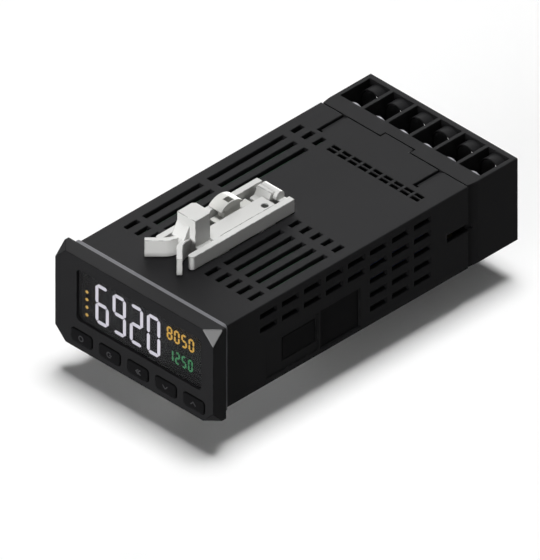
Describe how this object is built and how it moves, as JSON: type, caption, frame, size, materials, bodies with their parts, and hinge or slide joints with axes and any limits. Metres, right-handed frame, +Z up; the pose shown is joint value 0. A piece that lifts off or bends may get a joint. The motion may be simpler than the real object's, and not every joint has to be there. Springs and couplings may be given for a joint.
{
  "type": "panel-mounted digital controller",
  "caption": "Slim digital process controller for a panel cut-out: display and keys in front, long vented case, push-on mounting adapters, pull-off screw terminal block.",
  "frame": {"origin": "centre of the rear face of the panel packing, which seals on the front of the panel", "axes": "+Y runs back through the panel to the terminals, +X is to the right for someone who reads the display, +Z is up"},
  "size_m": [0.048, 0.0943, 0.0406],
  "materials": {
    "frame_black": "fine spark-eroded black moulding",
    "window_smoked": "smoked clear window, polished",
    "packing_grey": "grey closed-cell packing",
    "key_black": null,
    "key_rubber": "dark silicone",
    "lcd_dark": "dark negative display cell",
    "diffuser_milk": "milky sheet",
    "light_box_white": "white moulding",
    "lamp_yellow": "lamp packages with yellow phosphor",
    "board_green": "green solder mask over glass laminate",
    "switch_steel": "pressed cover",
    "header_black": "pin header moulding",
    "case_black": "black glass-filled moulding, fine texture",
    "label_film": "blank dark label film",
    "chip_black": "moulded chip package",
    "ferrite": "sintered ferrite, matt grey-brown",
    "winding_tape": "yellow tape over copper winding",
    "relay_blue": "blue relay covers",
    "capacitor_sleeve": "dark sleeve over aluminium can",
    "varistor_coat": "dipped epoxy coat",
    "blade_brass": "tin-flashed brass",
    "terminal_nickel": "nickel-plated brass, bright",
    "screw_steel": "zinc-plated steel",
    "washer_steel": "nickel-plated steel",
    "adapter_grey": "light grey moulding, satin",
    "latch_grey": "light grey moulding, satin"
  },
  "bodies": {
    "case": {"bezel": "frame_black", "display_window": "window_smoked", "panel_gasket": "packing_grey", "key_pad": "key_rubber", "lcd_glass": "lcd_dark", "light_diffuser": "diffuser_milk", "display_frame": "light_box_white", "backlight_leds": "lamp_yellow", "display_board": "board_green", "main_board": "board_green", "power_board": "board_green", "tact_switches": "switch_steel", "front_header": "header_black", "board_link": "header_black", "rear_case": "case_black", "nameplates": "label_film", "controller_chip": "chip_black", "signal_chips": "chip_black", "transformer_core": "ferrite", "transformer_winding": "winding_tape", "relays": "relay_blue", "capacitors": "capacitor_sleeve", "varistor": "varistor_coat", "upper_blades": "blade_brass", "lower_blades": "blade_brass"},
    "terminal_block": {"terminal_block": "case_black", "upper_terminals": "terminal_nickel", "lower_terminals": "terminal_nickel", "upper_screws": "screw_steel", "lower_screws": "screw_steel", "upper_washers": "washer_steel", "lower_washers": "washer_steel", "cold_junction_sensor": "chip_black"},
    "adapter_top": {"adapter_top": "adapter_grey"},
    "adapter_bottom": {"adapter_bottom": "adapter_grey"},
    "latch_top": {"latch_top": "latch_grey"},
    "latch_bottom": {"latch_bottom": "latch_grey"},
    "key_level": {"key_level": "key_black"},
    "key_mode": {"key_mode": "key_black"},
    "key_shift": {"key_shift": "key_black"},
    "key_down": {"key_down": "key_black"},
    "key_up": {"key_up": "key_black"}
  },
  "joints": [
    {"name": "key_level_press", "type": "slide", "parent": "case", "child": "key_level", "axis": [0, 1, 0], "range_m": [0, 0.0003], "stiffness_N_per_m": 1500, "springref_m": -0.0003},
    {"name": "key_mode_press", "type": "slide", "parent": "case", "child": "key_mode", "axis": [0, 1, 0], "range_m": [0, 0.0003], "stiffness_N_per_m": 1500, "springref_m": -0.0003},
    {"name": "key_shift_press", "type": "slide", "parent": "case", "child": "key_shift", "axis": [0, 1, 0], "range_m": [0, 0.0003], "stiffness_N_per_m": 1500, "springref_m": -0.0003},
    {"name": "key_down_press", "type": "slide", "parent": "case", "child": "key_down", "axis": [0, 1, 0], "range_m": [0, 0.0003], "stiffness_N_per_m": 1500, "springref_m": -0.0003},
    {"name": "key_up_press", "type": "slide", "parent": "case", "child": "key_up", "axis": [0, 1, 0], "range_m": [0, 0.0003], "stiffness_N_per_m": 1500, "springref_m": -0.0003},
    {"name": "adapter_top_slide", "type": "slide", "parent": "case", "child": "adapter_top", "axis": [0, 1, 0], "range_m": [-0.005, 0.0048]},
    {"name": "adapter_bottom_slide", "type": "slide", "parent": "case", "child": "adapter_bottom", "axis": [0, 1, 0], "range_m": [-0.005, 0.0048]},
    {"name": "latch_top_lift", "type": "hinge", "parent": "adapter_top", "child": "latch_top", "pos_m": [-0.00515, 0.0349, 0.0119], "axis": [-1, 0, 0], "range_deg": [0, 8], "stiffness_Nm_per_rad": 0.05},
    {"name": "latch_bottom_lift", "type": "hinge", "parent": "adapter_bottom", "child": "latch_bottom", "pos_m": [0.00515, 0.0349, -0.0119], "axis": [1, 0, 0], "range_deg": [0, 8], "stiffness_Nm_per_rad": 0.05},
    {"name": "terminal_block_pull", "type": "slide", "parent": "case", "child": "terminal_block", "axis": [0, 1, 0], "range_m": [0, 0.012]}
  ]
}
